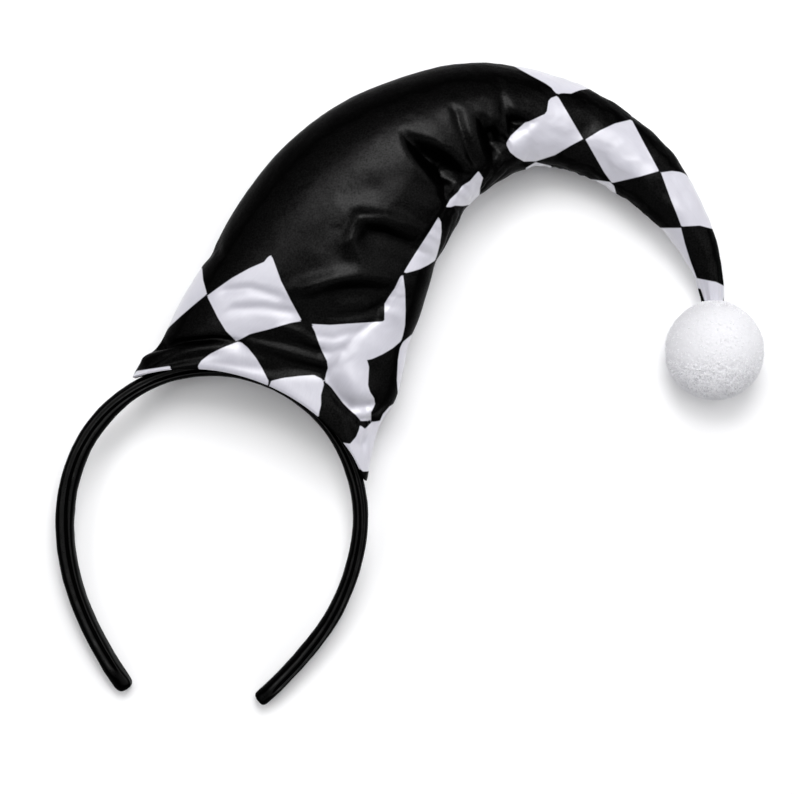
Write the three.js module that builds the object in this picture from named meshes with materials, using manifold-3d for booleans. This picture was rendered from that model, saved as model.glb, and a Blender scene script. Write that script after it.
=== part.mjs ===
// A jester hat headband lying on its side: a stuffed satin horn on a satin-covered headband,
// with a felted ball at the horn's tip. Millimetres, +Z up, and the surface it lies on is Z = 0.
import * as THREE from 'three';
import { mergeVertices } from 'three/addons/utils/BufferGeometryUtils.js';
import Module from 'manifold-3d';

const wasm = await Module();
wasm.setup();

const { clamp, degToRad, lerp, smoothstep } = THREE.MathUtils;

// Clearance between pieces that touch, and how finely the round forms are cut.
const GAP = 0.3;
const HORN_SIDES = 52;
const ROWS_PER_SECTION = 4;
const ARCH_STEPS = 36;
const LEG_ARC_STEPS = 7;
const BALL_DETAIL = 6;

// Headband: a half circle over the head, then two legs of gentler arcs that close in to the tips.
// Its crown leans to the right and lies higher than its tips, which touch the surface.
const BAND = {
  centre: new THREE.Vector3(-76.8, -49.5, 15.8),
  lean: degToRad(7),
  tilt: degToRad(8.15),
  radius: 61.8,
  legArcs: [
    { radius: 98, sweep: degToRad(29) },
    { radius: 140, sweep: degToRad(13.8) },
  ],
  thick: 5.8,
  deep: 10,
  corner: 2,
};

// The last few millimetres of each leg: distance past the leg's end and the size of the section there.
const BAND_TIP = [
  { past: 1.2, size: 0.9 },
  { past: 2.2, size: 0.6 },
];

// Mouth of the horn: its hem follows the arch of the headband, dips over it in the middle
// and stands off it at both ends. Angles are measured from the crown, towards the right leg.
// The recess inside the hem goes up a share of the way to the first section.
const HEM = {
  middle: degToRad(16),
  span: degToRad(52),
  radius: 60.4,
  flare: 6.2,
  halfDepth: 18,
  bluntness: 0.65,
  wall: 2,
  recess: 0.3,
  overcut: 3,
};

// Sections of the horn from hem to tip: the ends of each section on the outer and the inner curve,
// its middle height, half its depth, and how far its faces bow towards the tip.
const SECTIONS = [
  { outX: -105.5, outY: 15.5, inX: -5.5, inY: -11.5, midZ: 23.5, halfZ: 20.5, bow: 19 },
  { outX: -99.5, outY: 21.1, inX: 0.4, inY: -1.2, midZ: 24, halfZ: 22, bow: 14 },
  { outX: -89.5, outY: 40, inX: 6.2, inY: 23.5, midZ: 25, halfZ: 25.5, bow: 8 },
  { outX: -79.1, outY: 57.3, inX: 10.7, inY: 35.4, midZ: 26, halfZ: 28, bow: 4 },
  { outX: -64.6, outY: 81.1, inX: 16.1, inY: 54.7, midZ: 27, halfZ: 29, bow: 1.5 },
  { outX: -46.1, outY: 103.3, inX: 23.1, inY: 67.5, midZ: 27, halfZ: 29, bow: 0 },
  { outX: -23.5, outY: 120.3, inX: 28.8, inY: 78.7, midZ: 26.5, halfZ: 28.5, bow: 0 },
  { outX: 1.2, outY: 131.1, inX: 37.1, inY: 85.3, midZ: 25.5, halfZ: 27, bow: 0 },
  { outX: 26, outY: 137.7, inX: 47.5, inY: 91.8, midZ: 24, halfZ: 25, bow: 0 },
  { outX: 50.8, outY: 136.8, inX: 59.1, inY: 95.5, midZ: 22.5, halfZ: 21.5, bow: 0 },
  { outX: 75.8, outY: 129.6, inX: 70.8, inY: 93.8, midZ: 21, halfZ: 18, bow: 0 },
  { outX: 97.3, outY: 116.8, inX: 84.1, inY: 88.2, midZ: 20.5, halfZ: 15.5, bow: 0 },
  { outX: 115.1, outY: 100.2, inX: 99, inY: 78.7, midZ: 20.5, halfZ: 13, bow: 0 },
  { outX: 127.1, outY: 79.1, inX: 110.6, inY: 68.3, midZ: 20.5, halfZ: 10, bow: 0 },
  { outX: 133.6, outY: 61.7, inX: 119.7, inY: 56.3, midZ: 20.5, halfZ: 7.5, bow: 0 },
  { outX: 135.7, outY: 48.5, inX: 123.8, inY: 47.8, midZ: 20.3, halfZ: 6, bow: 0 },
  { outX: 135.9, outY: 36.5, inX: 126.3, inY: 36.5, midZ: 20.2, halfZ: 5, bow: 0 },
];

// Folds pressed into the upper side: the line each one follows, seen from above,
// then its width and depth at the start and at the end of that line.
const FOLDS = [
  { name: 'seam by the hem', line: [[-29.1, 6.9], [-14.1, 25.8], [2.4, 50]], width: [4, 4], depth: [1, 2] },
  { name: 'seam up the crook', line: [[2.4, 50], [16.5, 72.6], [44.4, 100.9]], width: [4, 5], depth: [2, 2] },
  { name: 'long pleat', line: [[0, 107.8], [23.4, 85.6]], width: [4, 8], depth: [0, 5] },
  { name: 'second pleat', line: [[22.2, 117.8], [31.5, 95.6]], width: [3, 5], depth: [0, 3.5] },
  { name: 'third pleat', line: [[35.5, 115.8], [37.5, 97.7]], width: [3, 5], depth: [0, 3] },
  { name: 'sharp pleat', line: [[42, 127.1], [44, 103.7]], width: [3, 4.5], depth: [1, 4] },
  { name: 'upper dent', line: [[-12.9, 73.5], [11.3, 63.4]], width: [8, 6], depth: [1, 3.5] },
  { name: 'lower dent', line: [[-27, 47.2], [-3.6, 43.2]], width: [7, 5], depth: [1, 3] },
  { name: 'hem crease', line: [[-96.9, 21], [-87.6, 22.2], [-65.4, 23]], width: [4, 4], depth: [3, 1] },
  { name: 'slack corner', line: [[-27, 3.6], [-19, -4.4], [-12.9, -5.7]], width: [4, 5], depth: [2, 4] },
];
const UPPER_SIDE = { from: 0, full: 0.35 };

// Felted ball: its nap lies in shallow locks that wind round it.
const BALL = {
  centre: new THREE.Vector3(131.5, 19.4, 20.4),
  radius: 20.4,
  lock: 0.35,
  locksRound: 9,
  locksUp: 7,
};

// Directions of the headband's own plane: across it, up to its crown, and out of the plane.
const across = new THREE.Vector3(Math.cos(BAND.lean), -Math.sin(BAND.lean), 0);
const crownward = new THREE.Vector3(
  Math.sin(BAND.lean) * Math.cos(BAND.tilt),
  Math.cos(BAND.lean) * Math.cos(BAND.tilt),
  Math.sin(BAND.tilt),
);
const faceward = new THREE.Vector3().crossVectors(across, crownward);

function bandPoint(sideways, upwards, outOfPlane) {
  return BAND.centre.clone()
    .addScaledVector(across, sideways)
    .addScaledVector(crownward, upwards)
    .addScaledVector(faceward, outOfPlane);
}

// A closed skin through rows of points, each row a ring of the same count.
// Each end is closed by strips between the points that face each other across the ring.
function loft(rows) {
  const count = rows[0].length;
  const triangles = [];
  for (let row = 0; row + 1 < rows.length; row++) {
    for (let side = 0; side < count; side++) {
      const here = row * count + side;
      const next = row * count + (side + 1) % count;
      triangles.push([here, next, next + count], [here, next + count, here + count]);
    }
  }
  const last = (rows.length - 1) * count;
  for (let side = 0; side < count / 2; side++) {
    const strip = [side, side + 1, count - side - 1, (count - side) % count];
    const pieces = [[strip[0], strip[1], strip[2]], [strip[0], strip[2], strip[3]]];
    for (const piece of pieces) {
      if (new Set(piece).size < 3) continue;
      triangles.push([piece[2], piece[1], piece[0]], piece.map((index) => index + last));
    }
  }
  return solid(rows.flat(), triangles);
}

function solid(points, triangles) {
  const enclosed = triangles.reduce((sum, [a, b, c]) => (
    sum + points[a].dot(new THREE.Vector3().crossVectors(points[b], points[c]))
  ), 0);
  const outward = enclosed > 0 ? triangles : triangles.map(([a, b, c]) => [a, c, b]);
  const mesh = new wasm.Mesh({
    numProp: 3,
    vertProperties: Float32Array.from(points.flatMap((point) => point.toArray())),
    triVerts: Uint32Array.from(outward.flat()),
  });
  return new wasm.Manifold(mesh);
}

function piece(name, body, finish) {
  const { vertProperties, triVerts } = body.getMesh();
  const geometry = new THREE.BufferGeometry();
  geometry.setAttribute('position', new THREE.BufferAttribute(vertProperties, 3));
  geometry.setIndex(new THREE.BufferAttribute(triVerts, 1));
  geometry.computeVertexNormals();
  const mesh = new THREE.Mesh(geometry, new THREE.MeshStandardMaterial(finish));
  mesh.name = name;
  return mesh;
}

// Outline of the band's section: a rectangle with its corners cut round, as [radial, out of plane].
function bandSection(grown) {
  const halfThick = BAND.thick / 2 + grown;
  const halfDeep = BAND.deep / 2 + grown;
  const bevel = BAND.corner * (1 - Math.SQRT1_2);
  const corner = [
    [halfThick, halfDeep - BAND.corner],
    [halfThick - bevel, halfDeep - bevel],
    [halfThick - BAND.corner, halfDeep],
  ];
  const mirrored = corner.map(([radial, deep]) => [-radial, deep]).reverse();
  const upper = [...corner, ...mirrored];
  return [...upper, ...upper.map(([radial, deep]) => [-radial, -deep])];
}

// Stations along the headband from the left tip to the right one.
function bandStations() {
  const rightHalf = [];
  for (let step = 0; step <= ARCH_STEPS / 2; step++) {
    const angle = (Math.PI / 2) * (step / (ARCH_STEPS / 2));
    const sideways = BAND.radius * Math.sin(angle);
    rightHalf.push({ sideways, upwards: BAND.radius * Math.cos(angle), angle, size: 1 });
  }
  for (const { radius, sweep } of BAND.legArcs) {
    const start = rightHalf.at(-1);
    for (let step = 1; step <= LEG_ARC_STEPS; step++) {
      const angle = start.angle + sweep * (step / LEG_ARC_STEPS);
      const sideways = start.sideways + radius * (Math.sin(angle) - Math.sin(start.angle));
      const upwards = start.upwards + radius * (Math.cos(angle) - Math.cos(start.angle));
      rightHalf.push({ sideways, upwards, angle, size: 1 });
    }
  }
  const legEnd = rightHalf.at(-1);
  for (const { past, size } of BAND_TIP) {
    const sideways = legEnd.sideways + past * Math.cos(legEnd.angle);
    const upwards = legEnd.upwards - past * Math.sin(legEnd.angle);
    rightHalf.push({ sideways, upwards, angle: legEnd.angle, size });
  }
  const leftHalf = rightHalf.slice(1).reverse().map((station) => (
    { ...station, sideways: -station.sideways, angle: -station.angle }
  ));
  return [...leftHalf, ...rightHalf];
}

function bandSolid(grown) {
  const section = bandSection(grown);
  const rows = bandStations().map(({ sideways, upwards, angle, size }) => (
    section.map(([radial, deep]) => bandPoint(
      sideways + radial * size * Math.sin(angle),
      upwards + radial * size * Math.cos(angle),
      deep * size,
    ))
  ));
  return loft(rows);
}

function ballSolid(radiusAt) {
  const sphere = new THREE.IcosahedronGeometry(1, BALL_DETAIL);
  sphere.deleteAttribute('normal');
  sphere.deleteAttribute('uv');
  const merged = mergeVertices(sphere);
  const points = [];
  for (let index = 0; index < merged.attributes.position.count; index++) {
    const direction = new THREE.Vector3().fromBufferAttribute(merged.attributes.position, index);
    points.push(BALL.centre.clone().addScaledVector(direction, radiusAt(direction)));
  }
  const corners = Array.from(merged.index.array);
  const triangles = [];
  for (let start = 0; start < corners.length; start += 3) {
    triangles.push(corners.slice(start, start + 3));
  }
  return solid(points, triangles);
}

function lockedRadius(direction) {
  const round = Math.atan2(direction.y, direction.x);
  const up = Math.asin(clamp(direction.z, -1, 1));
  const lock = Math.sin(BALL.locksRound * round + BALL.locksUp * up) * Math.cos(up);
  return BALL.radius - BALL.lock * lock * lock;
}

// A point of the hem: turn 0 is the outer end, a quarter turn the middle of the upper edge.
function hemPoint(turn) {
  const share = -Math.cos(turn);
  const angle = HEM.middle + HEM.span * share;
  const radius = HEM.radius + HEM.flare * share * share;
  const point = bandPoint(radius * Math.sin(angle), radius * Math.cos(angle), 0);
  const opening = Math.sign(Math.sin(turn)) * Math.abs(Math.sin(turn)) ** HEM.bluntness;
  point.z += HEM.halfDepth * opening;
  return point;
}

function sectionPoint(row, turn) {
  const half = new THREE.Vector3(row.outX - row.inX, row.outY - row.inY, 0).multiplyScalar(0.5);
  const ahead = new THREE.Vector3(half.y, -half.x, 0).normalize();
  const depth = Math.sin(turn);
  return new THREE.Vector3(row.inX + half.x, row.inY + half.y, row.midZ + row.halfZ * depth)
    .addScaledVector(half, Math.cos(turn))
    .addScaledVector(ahead, row.bow * depth * depth);
}

function nearestOnLine(line, point) {
  const spot = new THREE.Vector2(point.x, point.y);
  let best = { distance: Infinity, along: 0 };
  for (let leg = 0; leg + 1 < line.length; leg++) {
    const start = new THREE.Vector2(...line[leg]);
    const run = new THREE.Vector2(...line[leg + 1]).sub(start);
    const share = clamp(spot.clone().sub(start).dot(run) / run.lengthSq(), 0, 1);
    const distance = spot.distanceTo(start.addScaledVector(run, share));
    if (distance < best.distance) best = { distance, along: (leg + share) / (line.length - 1) };
  }
  return best;
}

// Presses the folds into the upper side and flattens the underside where it rests.
function shaped(point, heart) {
  const outward = point.clone().sub(heart).normalize();
  const upper = smoothstep(outward.z, UPPER_SIDE.from, UPPER_SIDE.full);
  let sink = 0;
  for (const { line, width, depth } of FOLDS) {
    const { distance, along } = nearestOnLine(line, point);
    sink += lerp(...depth, along) * Math.exp(-((distance / lerp(...width, along)) ** 2));
  }
  const moved = point.clone().addScaledVector(outward, -sink * upper);
  moved.z = Math.max(moved.z, 0);
  return moved;
}

// One curve for each side of the horn, from the hem through every section to the tip.
const sideCurves = Array.from({ length: HORN_SIDES }, (_, side) => {
  const turn = (2 * Math.PI * side) / HORN_SIDES;
  const points = [hemPoint(turn), ...SECTIONS.map((row) => sectionPoint(row, turn))];
  return new THREE.CatmullRomCurve3(points, false, 'centripetal');
});

function ringAt(sections) {
  return sideCurves.map((curve) => curve.getPoint(sections / SECTIONS.length));
}

function heartOf(ring) {
  return ring.reduce((sum, point) => sum.add(point), new THREE.Vector3()).divideScalar(ring.length);
}

function hornSkin() {
  const rows = [];
  for (let step = 0; step <= SECTIONS.length * ROWS_PER_SECTION; step++) {
    const ring = ringAt(step / ROWS_PER_SECTION);
    const heart = heartOf(ring);
    rows.push(ring.map((point) => shaped(point, heart)));
  }
  return loft(rows);
}

// A ring brought in by the cloth's thickness, along its width and its depth.
function insetRing(ring, wall) {
  const heart = heartOf(ring);
  const width = ring[0].clone().sub(ring[ring.length / 2]);
  const halfDepth = (Math.max(...ring.map(({ z }) => z)) - Math.min(...ring.map(({ z }) => z))) / 2;
  const sideways = width.clone().setZ(0).normalize();
  return ring.map((point) => {
    const offset = point.clone().sub(heart);
    const inward = offset.dot(sideways) * (2 * wall / width.length());
    return point.clone()
      .addScaledVector(sideways, -inward)
      .setZ(point.z - offset.z * (wall / halfDepth));
  });
}

// The open mouth: a shallow hollow inside the turned hem.
function mouthHollow() {
  const hem = insetRing(ringAt(0), HEM.wall);
  const floor = insetRing(ringAt(HEM.recess), HEM.wall);
  const inwards = heartOf(floor).sub(heartOf(hem)).normalize();
  const outside = hem.map((point) => point.clone().addScaledVector(inwards, -HEM.overcut));
  return loft([outside, floor]);
}

const horn = hornSkin()
  .subtract(mouthHollow())
  .subtract(bandSolid(GAP))
  .subtract(ballSolid(() => BALL.radius + GAP));

const hat = new THREE.Group();
hat.add(
  piece('headband', bandSolid(0), { color: '#151517', roughness: 0.5, metalness: 0 }),
  piece('horn', horn, { color: '#19191c', roughness: 0.4, metalness: 0 }),
  piece('pompom', ballSolid(lockedRadius), { color: '#f1f1f3', roughness: 0.95, metalness: 0 }),
);

// The origin is the middle of the whole outline, on the surface it lies on.
const extent = new THREE.Box3().setFromObject(hat);
const middle = extent.getCenter(new THREE.Vector3());
hat.position.set(-middle.x, -middle.y, -extent.min.z);

export default hat;
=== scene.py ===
# %% [markdown]
# # A jester hat headband
#
# A stuffed satin horn, printed with black and white harlequin diamonds, is sewn to a satin-covered
# headband and ends in a white felted ball. The hat lies on its side on a white table, and the camera
# looks straight down on it. The CAD solids are loaded first as a fixed frame. They give each piece
# its place and size, and the soft pieces below are then modelled over them.

# %% Load the CAD frame
import math
from contextlib import contextmanager

import bpy
import numpy as np
from mathutils import Matrix, Vector


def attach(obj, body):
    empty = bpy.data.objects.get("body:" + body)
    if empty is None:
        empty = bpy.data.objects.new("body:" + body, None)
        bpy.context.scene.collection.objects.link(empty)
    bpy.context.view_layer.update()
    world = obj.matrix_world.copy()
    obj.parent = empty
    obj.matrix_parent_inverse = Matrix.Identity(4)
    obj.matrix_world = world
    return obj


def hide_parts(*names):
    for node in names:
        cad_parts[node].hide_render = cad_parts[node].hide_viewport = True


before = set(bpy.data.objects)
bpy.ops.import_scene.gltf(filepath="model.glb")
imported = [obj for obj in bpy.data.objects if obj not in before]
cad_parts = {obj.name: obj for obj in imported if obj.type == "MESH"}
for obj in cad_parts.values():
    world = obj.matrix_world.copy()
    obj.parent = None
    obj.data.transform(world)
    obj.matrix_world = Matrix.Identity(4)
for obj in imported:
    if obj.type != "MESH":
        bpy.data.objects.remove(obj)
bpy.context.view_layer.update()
scene = bpy.context.scene
MM = 0.001

# %% [markdown]
# ## Camera
#
# The photograph is taken from straight above, so the camera needs no turn at all: an unturned camera
# in Blender already looks down with +Y at the top of the picture. Its height is judged from how
# little the tall pieces lean outwards, and the focal length follows from the headband's real width.
# The same numbers give a small function that says at which pixel a point is seen. The print and the
# folds below are charted in those pixels.

# %% Set the camera and its pixel chart
PHOTO_SIDE = 794
CAMERA_HEIGHT = 1.1
FOCAL_PIXELS = 2606.7
SENSOR = 36
PHOTO_CENTRE = Vector((-4.963 * MM, -4.214 * MM, 0))

bpy.ops.object.camera_add(location=PHOTO_CENTRE + Vector((0, 0, CAMERA_HEIGHT)), rotation=(0, 0, 0))
camera = bpy.context.object
camera.data.sensor_width = SENSOR
camera.data.lens = SENSOR * FOCAL_PIXELS / PHOTO_SIDE
scene.camera = camera


def photo_pixels(points):
    """The pixels at which points of the frame, in metres, are seen by the camera."""
    scale = FOCAL_PIXELS / (CAMERA_HEIGHT - points[:, 2])
    right = PHOTO_SIDE / 2 + scale * (points[:, 0] - PHOTO_CENTRE.x)
    down = PHOTO_SIDE / 2 - scale * (points[:, 1] - PHOTO_CENTRE.y)
    return np.column_stack([right, down])


def in_frame(points_mm):
    """Points charted in millimetres from the photograph's middle, in metres in the CAD frame."""
    return points_mm * MM + np.array(PHOTO_CENTRE)


def as_rows(columns, *rows):
    """The rows of a table, each as a dictionary with the names of the columns."""
    return [dict(zip(columns.split(), row)) for row in rows]


def lengths(rows):
    return np.linalg.norm(rows, axis=1)


print("lens in mm:", round(camera.data.lens, 1))

# %% [markdown]
# ## Light and floor
#
# The shadows fall softly down the picture and a little to both sides. A studio gives that with a ring
# of softboxes and one overhead. The one beyond the top of the picture is the strongest on the hat,
# since the right one, for all its watts, is large and far away. Those at the left are small, because a
# small lamp is a bright one and draws the sheen on the satin. The one overhead stands a little to the
# top right, where the satin that faces the camera mirrors it. Area lights are the same thing in
# Blender. A pale world fills the rest, and its ceiling is dark, so that it adds no haze to the black.
# The Standard view keeps the white floor white.

# %% Add the softboxes, the world and the floor
SOFTBOXES = as_rows(
    "name place size watts",
    ("overhead softbox", (0.14, 0.15, 1.35), 0.6, 5.2),
    ("top softbox", (0.04, 0.55, 1.0), 0.5, 8.2),
    ("upper left softbox", (-0.46, 0.44, 1.0), 0.35, 2.0),
    ("left softbox", (-0.68, 0.0, 1.0), 0.35, 1.6),
    ("right softbox", (1.5, 0.3, 1.0), 2.2, 12),
    ("front softbox", (0.15, -0.9, 1.0), 0.9, 0.9),
)
WORLD_STRENGTH = 0.34
CEILING_STRENGTH = 0.03
FLOOR_SIDE = 6
FLOOR_DROP = 0.0003


def linear(hex_colour):
    """An sRGB hex colour as the linear RGBA that Blender's sockets take."""
    shares = [int(hex_colour[start:start + 2], 16) / 255 for start in (1, 3, 5)]
    return [*(s / 12.92 if s <= 0.04045 else ((s + 0.055) / 1.055) ** 2.4 for s in shares), 1.0]


def add_node(material, kind, inputs=None, **settings):
    """Adds one node. An input takes a plain value, a link from a socket, or a node's first output."""
    made = material.node_tree.nodes.new("ShaderNode" + kind)
    for name, value in settings.items():
        setattr(made, name, value)
    for name, value in (inputs or {}).items():
        if isinstance(value, bpy.types.Node):
            value = next(socket for socket in value.outputs if not socket.is_unavailable)
        if isinstance(value, bpy.types.NodeSocket):
            material.node_tree.links.new(value, made.inputs[name])
        else:
            made.inputs[name].default_value = value
    return made


def new_material(name):
    """An empty node material with only its output."""
    material = bpy.data.materials.new(name)
    material.use_nodes = True
    material.node_tree.nodes.clear()
    return material


for box in SOFTBOXES:
    place = Vector(box["place"])
    bpy.ops.object.light_add(type="AREA", location=place)
    softbox = bpy.context.object
    softbox.name = box["name"]
    softbox.rotation_euler = (-place).to_track_quat("-Z", "Y").to_euler()
    softbox.data.size = box["size"]
    softbox.data.energy = box["watts"]
    softbox.visible_camera = False

world = bpy.data.worlds.new("pale studio with a dark ceiling")
scene.world = world
world.use_nodes = True
world.node_tree.nodes.clear()
sky = add_node(world, "SeparateXYZ", {
    "Vector": add_node(world, "TexCoord").outputs["Generated"]})
walls = add_node(world, "MapRange", {
    "Value": sky.outputs["Z"], "From Min": 0.5, "From Max": 0.85,
    "To Min": WORLD_STRENGTH, "To Max": CEILING_STRENGTH}, interpolation_type="SMOOTHSTEP")
pale_light = add_node(world, "Background", {"Color": linear("#fdfdff"), "Strength": walls})
add_node(world, "OutputWorld", {"Surface": pale_light})
scene.view_settings.view_transform = "Standard"

bpy.ops.mesh.primitive_plane_add(size=FLOOR_SIDE, location=(0, 0, -FLOOR_DROP))
floor = bpy.context.object
floor.name = "floor"
white_table = new_material("white painted table")
table_paint = add_node(white_table, "BsdfPrincipled", {
    "Base Color": linear("#f6f6f7"), "Roughness": 0.9, "Specular IOR Level": 0.1})
add_node(white_table, "OutputMaterial", {"Surface": table_paint})
floor.data.materials.append(white_table)
print("lights:", [box["name"] for box in SOFTBOXES])

# %% [markdown]
# ## The horn's form
#
# The horn is one panel of satin rolled into a cone that bends over to the side. Its form is given by
# sections from the hem to the tip, the same ones that the CAD solid has, in millimetres. A tube drawn
# along a curve would have round sections everywhere, but here the mouth follows the arch of the band
# and the sections flatten, so each point of a section gets its own smooth curve from hem to tip.

# %% Describe the form from hem to tip
BAND = {"centre": (-76.8, -49.5, 15.8), "lean": 7, "tilt": 8.15,
        "radius": 61.8, "thick": 5.8, "deep": 10}
HEM = {"middle": 16, "span": 52, "radius": 60.4, "flare": 6.2,
       "half_depth": 18, "bluntness": 0.65}
SECTIONS = as_rows(
    "out_x out_y in_x in_y mid_z half_z bow",
    (-105.5, 15.5, -5.5, -11.5, 23.5, 20.5, 19),
    (-99.5, 21.1, 0.4, -1.2, 24, 22, 14),
    (-89.5, 40, 6.2, 23.5, 25, 25.5, 8),
    (-79.1, 57.3, 10.7, 35.4, 26, 28, 4),
    (-64.6, 81.1, 16.1, 54.7, 27, 29, 1.5),
    (-46.1, 103.3, 23.1, 67.5, 27, 29, 0),
    (-23.5, 120.3, 28.8, 78.7, 26.5, 28.5, 0),
    (1.2, 131.1, 37.1, 85.3, 25.5, 27, 0),
    (26, 137.7, 47.5, 91.8, 24, 25, 0),
    (50.8, 136.8, 59.1, 95.5, 22.5, 21.5, 0),
    (75.8, 129.6, 70.8, 93.8, 21, 18, 0),
    (97.3, 116.8, 84.1, 88.2, 20.5, 15.5, 0),
    (115.1, 100.2, 99, 78.7, 20.5, 13, 0),
    (127.1, 79.1, 110.6, 68.3, 20.5, 10, 0),
    (133.6, 61.7, 119.7, 56.3, 20.5, 7.5, 0),
    (135.7, 48.5, 123.8, 47.8, 20.3, 6, 0),
    (135.9, 36.5, 126.3, 36.5, 20.2, 5, 0),
)
TIP = len(SECTIONS)

lean, tilt = math.radians(BAND["lean"]), math.radians(BAND["tilt"])
across = np.array([math.cos(lean), -math.sin(lean), 0])
crownward = np.array([
    math.sin(lean) * math.cos(tilt), math.cos(lean) * math.cos(tilt), math.sin(tilt)])
faceward = np.cross(across, crownward)
band_centre = np.array(BAND["centre"])
arch_centre = in_frame(band_centre)


def hem_ring(turn):
    """The horn's mouth: it follows the arch of the band and opens above and below it."""
    share = -np.cos(turn)
    angle = np.radians(HEM["middle"] + HEM["span"] * share)
    radius = HEM["radius"] + HEM["flare"] * share ** 2
    ring = band_centre + np.outer(radius * np.sin(angle), across)
    ring += np.outer(radius * np.cos(angle), crownward)
    ring[:, 2] += HEM["half_depth"] * np.sign(np.sin(turn)) * np.abs(np.sin(turn)) ** HEM["bluntness"]
    return ring


def section_ring(row, turn):
    """One section, an oval that may bow towards the tip. Turn 0 is on the outer curve."""
    inner = np.array([row["in_x"], row["in_y"], row["mid_z"]])
    half = np.array([row["out_x"] - row["in_x"], row["out_y"] - row["in_y"], 0]) / 2
    ahead = np.array([half[1], -half[0], 0]) / np.linalg.norm(half)
    up = np.array([0, 0, row["half_z"]])
    sine = np.sin(turn)
    oval = inner + half + np.outer(np.cos(turn), half) + np.outer(sine, up)
    return oval + np.outer(row["bow"] * sine ** 2, ahead)


def control_ring(index, turn):
    """Ring 0 is the hem. One ring past each end is mirrored, so that the curves run straight out."""
    if index < 0:
        return 2 * control_ring(0, turn) - control_ring(1, turn)
    if index > TIP:
        return 2 * control_ring(TIP, turn) - control_ring(TIP - 1, turn)
    return hem_ring(turn) if index == 0 else section_ring(SECTIONS[index - 1], turn)


def horn_row(station, turn):
    """Points of the horn at one station, on curves through the rings, paced so that none loops."""
    first = min(int(station), TIP - 1)
    a, b, c, d = (control_ring(first + step, turn) for step in (-1, 0, 1, 2))
    steps = [np.sqrt(lengths(q - p)) for p, q in ((a, b), (b, c), (c, d))]
    t1, t2, t3 = (knot[:, None] for knot in np.cumsum(steps, axis=0))
    t = t1 + (station - first) * (t2 - t1)
    ab = a + (b - a) * t / t1
    bc = b + (c - b) * (t - t1) / (t2 - t1)
    cd = c + (d - c) * (t - t2) / (t3 - t2)
    abc, bcd = ab + (bc - ab) * t / t2, bc + (cd - bc) * (t - t1) / (t3 - t1)
    return abc + (bcd - abc) * (t - t1) / (t2 - t1)


QUARTERS = np.radians([0, 90, 180, 270])
FINE_STEPS = 341
fine_stations = np.linspace(0, TIP, FINE_STEPS)
quarter_lines = np.array([horn_row(station, QUARTERS) for station in fine_stations])
mean_length = np.linalg.norm(np.diff(quarter_lines, axis=0), axis=2).mean(axis=1)
run = np.concatenate([[0], np.cumsum(mean_length)])
print("mean length from hem to tip in mm:", round(run[-1], 1))

# %% [markdown]
# ## Rolling the panel
#
# The panel starts as a grid primitive, as flat as the cut cloth. Its two long edges are the ones that
# are sewn together, so the grid is rolled with those edges on the seam, which climbs the front of
# the crook and then slips to the inner curve. The upper side gets more of the columns, because it has
# the folds. Merging the edges by distance sews them. The grid's own UV map stays with it and later
# carries the weave, because it follows the threads.

# %% Roll a grid into the horn and sew its edges
AROUND, ALONG = 124, 168
MERGED = 0.01 * MM
FINER_ABOVE = ([0, 0.16, 0.49, 1], [0, 0.12, 0.6, 1])
SEAM_STATION = [0, 1, 2, 3, 4, 5, 6, 7, 8, 9, 9.5, 10.3, 11, TIP]
SEAM_TURN = [116.5, 118.5, 118, 130.5, 135, 141, 142, 144, 140, 133, 152, 178, 180, 180]


@contextmanager
def edit_mode():
    """Edit mode for the lines under it, and object mode again after them."""
    bpy.ops.object.mode_set(mode="EDIT")
    yield
    bpy.ops.object.mode_set(mode="OBJECT")


def get_points(piece, what="co"):
    """The points of a mesh, or another vector that each of them has, as rows."""
    rows = np.empty(len(piece.data.vertices) * 3)
    piece.data.vertices.foreach_get(what, rows)
    return rows.reshape(-1, 3)


def set_points(piece, points):
    piece.data.vertices.foreach_set("co", np.asarray(points, dtype=np.float32).ravel())
    piece.data.update()


def get_normals(piece):
    return get_points(piece, "normal")


def get_values(piece, name):
    values = np.empty(len(piece.data.vertices))
    piece.data.attributes[name].data.foreach_get("value", values)
    return values


def set_values(piece, name, values):
    known = piece.data.attributes.get(name) or piece.data.attributes.new(name, "FLOAT", "POINT")
    known.data.foreach_set("value", np.asarray(values, dtype=np.float32))


bpy.ops.mesh.primitive_grid_add(
    x_subdivisions=AROUND, y_subdivisions=ALONG, size=1, calc_uvs=True)
horn = bpy.context.object
horn.name = "horn_satin"
flat = get_points(horn)
round_share = np.interp(flat[:, 0] + 0.5, *FINER_ABOVE).round(6)
along_share = (flat[:, 1] + 0.5).round(6)
rolled = np.empty_like(flat)
for share in np.unique(along_share):
    row = along_share == share
    station = np.interp(share * run[-1], run, fine_stations)
    seam = np.interp(station, SEAM_STATION, SEAM_TURN)
    rolled[row] = horn_row(station, np.radians(seam + 360 * round_share[row]))
set_points(horn, in_frame(rolled))
set_values(horn, "round", round_share)
set_values(horn, "along", along_share)
with edit_mode():
    bpy.ops.mesh.select_all(action="SELECT")
    bpy.ops.mesh.remove_doubles(threshold=MERGED)
    bpy.ops.mesh.normals_make_consistent(inside=False)
print("rolled panel:", len(horn.data.vertices), "points")

# %% [markdown]
# ## Filling the horn
#
# Fibre filling pushes the satin out everywhere except where it is sewn: along the seam, round the hem
# and at the tip. That is a cloth simulation with pressure. The form is first shrunk a little, because
# it swells, and the cloth beside the seam gets small waves. They are the spare length that the short
# inner seam gathers up, and the pressure turns them into puffs. The movement is capped, so the result
# stays close to the CAD solid. One subdivision and a noise then give the uneven skin of cloth over
# filling. A vertex group makes the noise strongest on the tail, which is filled most loosely.

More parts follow.
